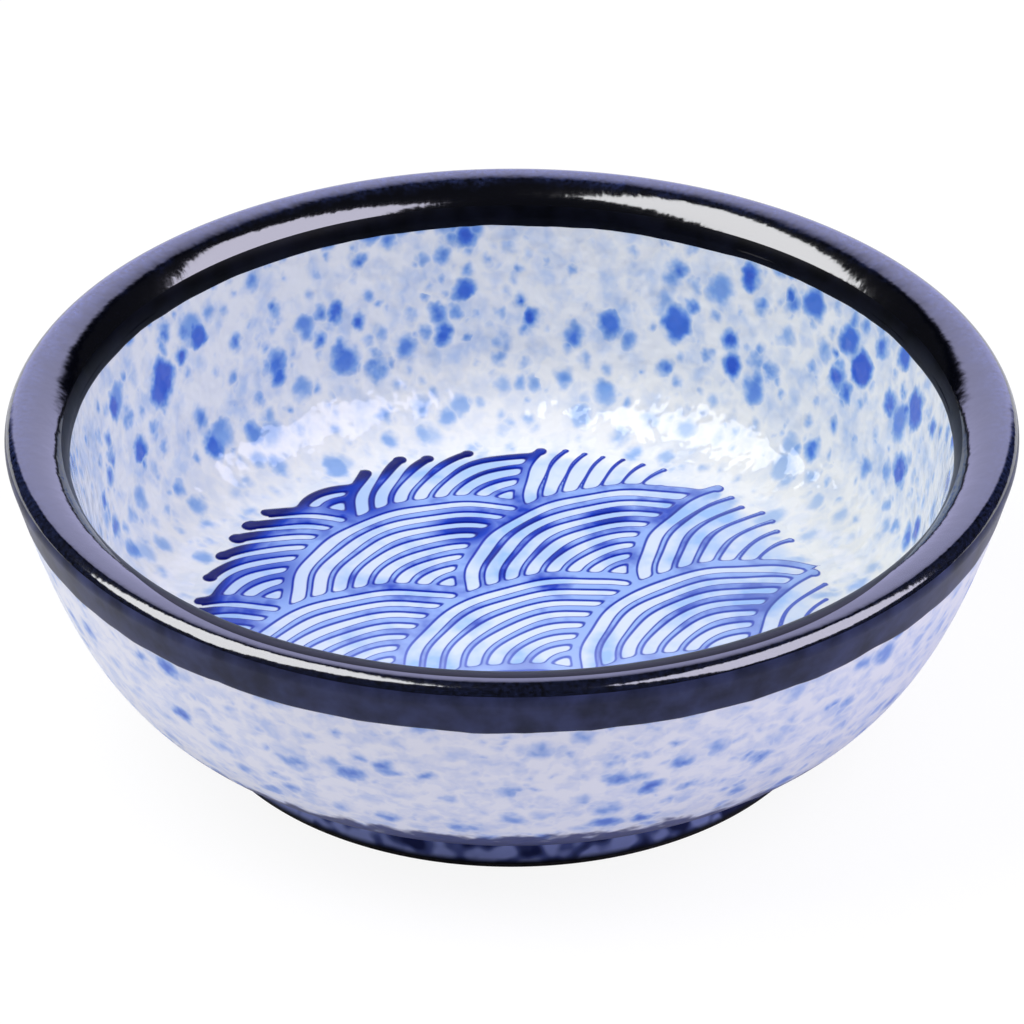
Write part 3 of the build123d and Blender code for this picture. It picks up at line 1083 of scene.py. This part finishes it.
@dataclass
class WaveMedallion:
    """Overlapping fans of raised strokes on the floor, painted as waves."""

    floor: float
    relief: float
    radius: float
    wave_radius: float = 18.3
    border: float = 1.2
    half_step: float = 14.7
    row_step: float = 9.0
    turn: float = 38.5
    start: Point = (-4.5, 4.0)
    ring_pitch: float = 1.95
    cell_width: float = 1.15
    wide_cell: float = 1.28
    slim_cell: float = 0.74
    slim_bearing: float = 75.0
    wide_bearing: float = 180.0
    least_share: float = 6.5
    spacing: float = 0.19
    lift: float = 0.03
    sink: float = 0.25
    margin: float = 1.2
    flank: float = 0.36
    flank_out: float = 0.05
    crease: float = 50.0
    raised: float = 0.45
    club: float = 0.42
    slender: float = 0.42
    dark_side: EdgeSide = EdgeSide(way=(-0.72, 0.69), nearness=(0.35, 0.75), inset=(4.5, 0.8))
    thin_side: EdgeSide = EdgeSide(way=(0.83, 0.56), nearness=(0.1, 0.6), inset=(8.0, 3.0))
    bulb: float = 1.2
    shortest: float = 3.4
    skim: float = 0.3
    ragged: float = 0.5
    pools: tuple[tuple[float, float, float, float], ...] = (
        (-4.6, 16.2, 5.0, 0.75),
        (-1.6, 11.0, 3.8, 0.75),
        (1.6, 16.6, 4.2, 0.75),
        (4.0, 11.4, 3.4, 0.7),
        (9.7, 18.0, 4.0, 0.75),
        (-3.0, 28.0, 7.0, 0.8),
        (-15.5, 22.0, 7.0, 0.7),
        (-25.5, 8.0, 7.5, 0.5),
    )
    pool_core: float = 0.25
    wobble: float = 0.12
    wobble_across: Point = (0.9, 0.4)
    wobble_up: Point = (0.8, 2.0)
    cell_round: float = 0.5
    seed: int = 11

    DEPTH = "stroke_depth"
    INK = "stroke_ink"

    @property
    def outermost(self) -> float:
        """Radius of the middle of a fan's outermost bare cell."""
        return self.wave_radius - self.border - self.cell_width / 2

    @property
    def rings(self) -> int:
        """Number of a fan's innermost bare cell, the outermost being number 0."""
        return int(self.outermost / self.ring_pitch) - 1

    def fans(self) -> list[Point]:
        """Lays the fans out in rows, a half step apart in turn.

        Returns:
            Centres of the fans, those behind first.
        """
        reach = self.radius + self.wave_radius
        columns, rows = int(reach / self.half_step) + 1, int(reach / self.row_step) + 1
        turned = Matrix.Rotation(radians(self.turn), 2)
        middles = []
        for row in range(rows, -rows - 1, -1):
            for column in range(-columns, columns + 1):
                place = Vector((column * self.half_step, row * self.row_step))
                middle = turned @ place + Vector(self.start)
                if (column + row) % 2 == 0 and middle.length < reach - self.least_share:
                    middles.append((middle.x, middle.y))
        return middles

    @staticmethod
    def least(a: np.ndarray, b: np.ndarray, blend: float) -> np.ndarray:
        """Lesser of two depths, with the corner between them rounded off."""
        meet = np.maximum(blend - np.abs(a - b), 0) / blend
        return np.minimum(a, b) - meet * meet * blend / 4

    def stroke_line(self, stroke: np.ndarray) -> np.ndarray:
        """Radius of the middle line of a fan's strokes, the border being number 0."""
        between = self.outermost + self.ring_pitch / 2
        return np.where(stroke == 0, self.wave_radius - self.border / 2, between - stroke * self.ring_pitch)

    def stroke_ends(self, middle: Point, nearer: list[Point], jitter: np.ndarray) -> np.ndarray:
        """Where a fan's strokes end at the medallion's edge, those too short to draw under nearer fans.

        Args:
            middle: Centre of the fan.
            nearer: Centres of the fans that lie over it.
            jitter: How far past the medallion's edge each stroke ends.

        Returns:
            Angle from the fan's outward bearing, for the two sides of it and each stroke.
        """
        lines = self.stroke_line(np.arange(len(jitter)))
        away, bearing = hypot(*middle), atan2(middle[1], middle[0])
        bend = (self.radius + jitter) ** 2 - away**2 - lines**2
        bend = bend / np.maximum(2 * away * np.abs(lines), TINY)
        skimming = away + np.abs(lines) - self.radius - jitter < self.skim
        end = np.where(skimming, 0.0, np.arccos(np.clip(bend, -1, 1)))
        back = end + self.shortest / np.maximum(np.abs(lines), self.shortest)
        ends = []
        for side in (-1, 1):
            x = middle[0] + lines * np.cos(bearing + side * back)
            y = middle[1] + lines * np.sin(bearing + side * back)
            hidden = [np.hypot(x - near[0], y - near[1]) < self.wave_radius for near in nearer]
            stub = np.any(hidden, axis=0) & (end > 0)
            ends.append(np.where(stub, back, end))
        return np.array(ends)

    def fan(self, x: np.ndarray, y: np.ndarray, middle: Point, ends: np.ndarray) -> np.ndarray:
        """Depth into one fan's strokes, below 0 in the bare cells between them and past their round ends.

        Args:
            x: Places across in millimetres.
            y: Places up in millimetres.
            middle: Centre of the fan.
            ends: Angles at which its strokes end.

        Returns:
            Depth in millimetres at each place.
        """
        across, up = x - middle[0], y - middle[1]
        reach, angle = np.hypot(across, up), np.arctan2(up, across)
        wide = ease(self.slim_bearing, self.wide_bearing, np.degrees(angle) % 360)
        width = self.slim_cell + (self.wide_cell - self.slim_cell) * wide
        width = width - self.club * self.dark_side.share(x, y, self.radius)
        width = width + self.slender * self.thin_side.share(x, y, self.radius)
        ring = np.clip(np.round((self.outermost - reach) / self.ring_pitch), 0, self.rings)
        from_ring = reach - self.outermost + ring * self.ring_pitch
        depth = np.where(ring == self.rings, from_ring, np.abs(from_ring)) - width / 2

        # Each stroke stops in a round end where its middle line leaves the medallion
        between = self.outermost + self.ring_pitch / 2
        stroke = np.clip(np.round((between - reach) / self.ring_pitch), 0, self.rings + 1).astype(int)
        line = self.stroke_line(stroke)
        half = np.where(stroke == 0, self.border / 2, (self.ring_pitch - width) / 2)
        bearing = atan2(middle[1], middle[0])
        turn = (angle - bearing + pi) % (2 * pi) - pi
        end = ends[(turn > 0).astype(int), stroke]
        tip = bearing + np.sign(turn) * end
        cap = self.bulb * half - np.hypot(across - line * np.cos(tip), up - line * np.sin(tip))
        cap = np.where((end <= 0) | (end >= pi), -1.0, cap)
        depth = np.where(np.abs(turn) < end, cap, np.maximum(depth, cap))
        return np.where(reach > self.wave_radius, self.wave_radius, depth)

    def depth(self, x: np.ndarray, y: np.ndarray) -> np.ndarray:
        """Depth into the painted strokes, below 0 in the bare cells and round the medallion.

        Args:
            x: Places across in millimetres.
            y: Places up in millimetres.

        Returns:
            Depth in millimetres at each place.
        """
        sway = self.wobble * np.sin(self.wobble_across[0] * y + self.wobble_across[1])
        x, y = x + sway, y + self.wobble * np.sin(self.wobble_up[0] * x + self.wobble_up[1])
        random = np.random.default_rng(self.seed)
        strokes = np.full_like(x, -1.0)
        fans = self.fans()
        for number, middle in enumerate(fans):
            covered = self.wave_radius - np.hypot(x - middle[0], y - middle[1])
            strokes = -self.least(-strokes, -covered, self.cell_round)
            jitter = random.uniform(-self.ragged, self.ragged, self.rings + 2)
            ends = self.stroke_ends(middle, fans[number + 1 :], jitter)
            strokes = np.minimum(strokes, self.fan(x, y, middle, ends))
        return strokes

    def sheet(self) -> Piece:
        """Fine round sheet that the strokes are raised from.

        Returns:
            The flat sheet.
        """
        outer = self.radius + self.margin
        cuts = int(2 * outer / self.spacing)
        bpy.ops.object.select_all(action="DESELECT")
        bpy.ops.mesh.primitive_grid_add(x_subdivisions=cuts, y_subdivisions=cuts, size=2 * outer * MM)
        piece = bpy.context.object
        piece.name = piece.data.name = "wave_strokes"
        bpy.ops.object.mode_set(mode="EDIT")
        bpy.ops.mesh.select_mode(type="VERT")
        bpy.ops.mesh.select_all(action="DESELECT")
        bpy.ops.object.mode_set(mode="OBJECT")
        mesh = piece.data
        places = np.empty(len(mesh.vertices) * 3)
        mesh.vertices.foreach_get("co", places)
        far = np.hypot(places[0::3], places[1::3]) > outer * MM
        mesh.vertices.foreach_set("select", far)
        bpy.ops.object.mode_set(mode="EDIT")
        bpy.ops.mesh.delete(type="VERT")
        bpy.ops.object.mode_set(mode="OBJECT")
        return piece

    def raise_strokes(self, piece: Piece) -> None:
        """Lifts the strokes out of the sheet and notes where the pigment lies.

        Args:
            piece: The flat sheet.
        """
        mesh = piece.data
        places = np.empty(len(mesh.vertices) * 3)
        mesh.vertices.foreach_get("co", places)
        places = places.reshape(-1, 3)
        x, y = places[:, 0] / MM, places[:, 1] / MM
        depth = self.depth(x, y)
        rise = ease(-self.flank_out, self.flank - self.flank_out, depth)
        places[:, 2] = (self.floor + self.lift + self.relief * self.raised * rise) * MM
        mesh.vertices.foreach_set("co", places.ravel())
        ink = self.dark_side.share(x, y, self.radius)
        for across, up, reach, strength in self.pools:
            pool = ease(reach, self.pool_core * reach, np.hypot(x - across, y - up))
            ink = np.maximum(ink, strength * pool)
        for name, values in ((self.DEPTH, depth), (self.INK, ink)):
            mesh.attributes.new(name, "FLOAT", "POINT").data.foreach_set("value", values.astype(np.float32))

    def close(self) -> None:
        """Draws the sheet's edge down into the floor and closes it underneath."""
        bpy.ops.object.mode_set(mode="EDIT")
        bpy.ops.mesh.select_mode(type="EDGE")
        bpy.ops.mesh.select_all(action="SELECT")
        bpy.ops.mesh.region_to_loop()
        bpy.ops.mesh.extrude_region_move(TRANSFORM_OT_translate={"value": (0, 0, -self.sink * MM)})
        bpy.ops.mesh.edge_face_add()
        bpy.ops.mesh.select_all(action="SELECT")
        bpy.ops.mesh.normals_make_consistent(inside=False)
        bpy.ops.object.mode_set(mode="OBJECT")
        bpy.ops.object.shade_smooth_by_angle(angle=radians(self.crease))

    def build(self) -> None:
        """Raises and dresses the medallion."""
        piece = self.sheet()
        self.raise_strokes(piece)
        self.close()
        finish = CobaltStrokes(SpeckledGlaze("well speckled glaze", milky_low=self.floor), self.radius)
        settle(piece, "wave_medallion", Slot.STROKES, finish.build())


@dataclass(frozen=True)
class SoftBox:
    """Soft box that faces the dish.

    Attributes:
        name: Name of the lamp.
        azimuth: Degrees to the right of straight behind the dish.
        elevation: Degrees above the floor.
        size: Width and height in metres.
        watts: Power.
        colour: Hex colour of its light.
        distance: Metres from the dish.
    """

    name: str
    azimuth: float
    elevation: float
    size: Point
    watts: float
    colour: str
    distance: float = 0.6

    def hang(self) -> None:
        """Hangs the box up in the studio."""
        data = bpy.data.lights.new(self.name, "AREA")
        data.shape, data.size, data.size_y = "RECTANGLE", self.size[0], self.size[1]
        data.energy, data.color = self.watts, linear(self.colour)[:3]
        lamp = bpy.data.objects.new(self.name, data)
        bpy.context.collection.objects.link(lamp)
        az, el = radians(self.azimuth), radians(self.elevation)
        away = Vector((sin(az) * cos(el), cos(az) * cos(el), sin(el)))
        lamp.location = away * self.distance
        lamp.rotation_euler = away.to_track_quat("Z", "Y").to_euler()


@dataclass
class Studio:
    """Pale floor and backdrop, two soft boxes and the camera."""

    rim_height: float
    distance: float = 0.48104
    lift: float = 31.10
    pitch: float = 32.31
    roll: float = -0.137
    lens: float = 178.24
    sensor: float = 36.0
    floor_size: float = 3.0
    backdrop: float = 3.2
    paper: str = "#F2F2F4"
    shadow_share: float = 0.13
    glow: float = 1.04
    panel: str = "#C8C8F6"
    panel_glow: float = 2.05
    panel_foot: float = 1.0
    panel_sides: Point = (1150.0, 850.0)
    panel_top: Point = (3000.0, 1000.0)
    mirror_gap: Point = (45.0, 90.0)
    sky: str = "#E6E6F2"
    sky_light: float = 0.2
    sky_unmirrored: float = 0.18
    boxes: tuple[SoftBox, ...] = (
        SoftBox("left_box", -97, 53, (0.40, 0.56), 3.3, "#FCFCFF"),
        SoftBox("right_box", 108, 46, (0.54, 0.42), 2.9, "#E8E5FC"),
    )

    def backdrop_panel(self, tree: Tree, xyz: Any) -> Node:
        """Lavender panel on the backdrop, bright in its middle and dim towards its sides and top.

        Args:
            tree: Node tree of the paper.
            xyz: Sockets of a point's place in millimetres.

        Returns:
            The panel's shader.
        """
        side = add_node(tree, "Math", {0: xyz["X"]}, operation="ABSOLUTE")
        limits = {"Value": side, "From Min": self.panel_sides[0], "From Max": self.panel_sides[1]}
        middle = add_node(tree, "MapRange", limits, **EASED)
        limits = {"Value": xyz["Z"], "From Min": self.panel_top[0], "From Max": self.panel_top[1]}
        low = add_node(tree, "MapRange", {**limits, "To Max": self.panel_glow}, **EASED)
        strength = add_node(tree, "Math", {0: middle, 1: low}, operation="MULTIPLY")
        return add_node(tree, "Emission", {"Color": linear(self.panel), "Strength": strength})

    def white_paper(self) -> Material:
        """Paper that stays white to the camera, takes a shadow, and is mirrored lavender up the backdrop.

        Returns:
            The material.
        """
        material, tree, place = new_material("white paper")
        xyz = add_node(tree, "SeparateXYZ", {0: place}).outputs
        path = add_node(tree, "LightPath").outputs
        away = off_axis(tree, place)
        limits = {"Value": away, "From Min": self.mirror_gap[0], "From Max": self.mirror_gap[1]}
        mirrored = add_node(tree, "MapRange", {**limits, "To Max": path["Is Glossy Ray"]})
        seen = add_node(tree, "Math", {0: path["Is Camera Ray"], 1: mirrored}, operation="MAXIMUM")
        seen = add_node(tree, "Math", {0: seen, 1: path["Is Transmission Ray"]}, operation="MAXIMUM")
        share = add_node(tree, "Math", {0: seen, 1: 1 - self.shadow_share}, operation="MULTIPLY")
        paper = add_node(tree, "BsdfDiffuse", {"Color": linear(self.paper)})
        glow = add_node(tree, "Emission", {"Color": (1, 1, 1, 1), "Strength": self.glow})
        mixed = add_node(tree, "MixShader", {0: share, 1: paper, 2: glow})
        upright = add_node(tree, "Math", {0: xyz["Z"], 1: self.panel_foot}, operation="GREATER_THAN")
        upright = add_node(tree, "Math", {0: upright, 1: path["Is Glossy Ray"]}, operation="MULTIPLY")
        mixed = add_node(tree, "MixShader", {0: upright, 1: mixed, 2: self.backdrop_panel(tree, xyz)})
        add_node(tree, "OutputMaterial", {"Surface": mixed})
        return material

    def sweep(self) -> None:
        """Floor that turns up into a backdrop behind the dish."""
        bpy.ops.object.select_all(action="DESELECT")
        bpy.ops.mesh.primitive_plane_add(size=self.floor_size)
        floor = bpy.context.object
        floor.name = "studio_floor"
        bpy.ops.object.mode_set(mode="EDIT")
        bpy.ops.mesh.select_mode(type="EDGE")
        bpy.ops.mesh.select_all(action="DESELECT")
        bpy.ops.object.mode_set(mode="OBJECT")
        back = max(floor.data.edges, key=lambda e: sum(floor.data.vertices[v].co.y for v in e.vertices))
        back.select = True
        bpy.ops.object.mode_set(mode="EDIT")
        bpy.ops.mesh.extrude_region_move(TRANSFORM_OT_translate={"value": (0, 0, self.backdrop)})
        bpy.ops.object.mode_set(mode="OBJECT")
        floor.data.materials.append(self.white_paper())

    def world(self) -> None:
        """Dim soft light from all round, white only to the camera."""
        world = bpy.data.worlds.new("studio")
        bpy.context.scene.world = world
        world.use_nodes = True
        tree = world.node_tree
        tree.nodes.clear()
        path = add_node(tree, "LightPath").outputs
        level = {0: path["Is Glossy Ray"], 1: -self.sky_unmirrored, 2: self.sky_light}
        level = add_node(tree, "Math", level, operation="MULTIPLY_ADD")
        dim = add_node(tree, "Background", {"Color": linear(self.sky), "Strength": level})
        bright = add_node(tree, "Background", {"Color": (1, 1, 1, 1), "Strength": 1.0})
        mixed = add_node(tree, "MixShader", {0: path["Is Camera Ray"], 1: dim, 2: bright})
        add_node(tree, "OutputWorld", {"Surface": mixed})

    def camera(self) -> None:
        """Looks at the dish from the front and above, through a long lens."""
        data = bpy.data.cameras.new("camera")
        data.lens, data.sensor_width = self.lens, self.sensor
        camera = bpy.data.objects.new("camera", data)
        bpy.context.collection.objects.link(camera)
        lift = radians(self.lift)
        place = Vector((0, -cos(lift), sin(lift))) * self.distance + Vector((0, 0, self.rim_height))
        tilted = Matrix.Rotation(radians(90 - self.pitch), 4, "X")
        facing = tilted @ Matrix.Rotation(radians(self.roll), 4, "Z")
        camera.matrix_world = Matrix.Translation(place) @ facing
        bpy.context.scene.camera = camera

    def build(self) -> None:
        """Sets the studio up round the dish."""
        bpy.context.scene.view_settings.view_transform = "Standard"
        self.sweep()
        self.world()
        for box in self.boxes:
            box.hang()
        self.camera()


def main() -> None:
    """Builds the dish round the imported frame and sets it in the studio."""
    logging.basicConfig(level=logging.INFO, format="%(name)s: %(message)s")
    rim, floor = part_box("rim_glaze"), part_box("wave_medallion")
    ring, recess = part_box("foot_ring"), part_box("base_glaze")
    bowl = Bowl(
        rim_radius=rim[1][0] / MM,
        height=rim[1][2] / MM,
        floor=floor[0][2] / MM,
        foot_radius=ring[1][0] / MM + Bowl.glaze,
        foot_height=ring[1][2] / MM,
    )
    bowl.build()
    foot = Foot(bowl, ring[1][0] / MM, recess[1][0] / MM, ring[1][2] / MM, recess[0][2] / MM)
    foot.build()
    medallion = WaveMedallion(bowl.floor, (floor[1][2] - floor[0][2]) / MM, floor[1][0] / MM)
    medallion.build()
    clay = bpy.data.objects["clay_bowl"]
    clay.data.materials.clear()
    clay.data.materials.append(BareClay("stoneware body", body="#B8AFA2", grit="#8F867A").build())
    log.info("clay_bowl keeps its CAD shape under the glaze")
    Studio(rim_height=rim[1][2]).build()


if __name__ == "__main__":
    main()
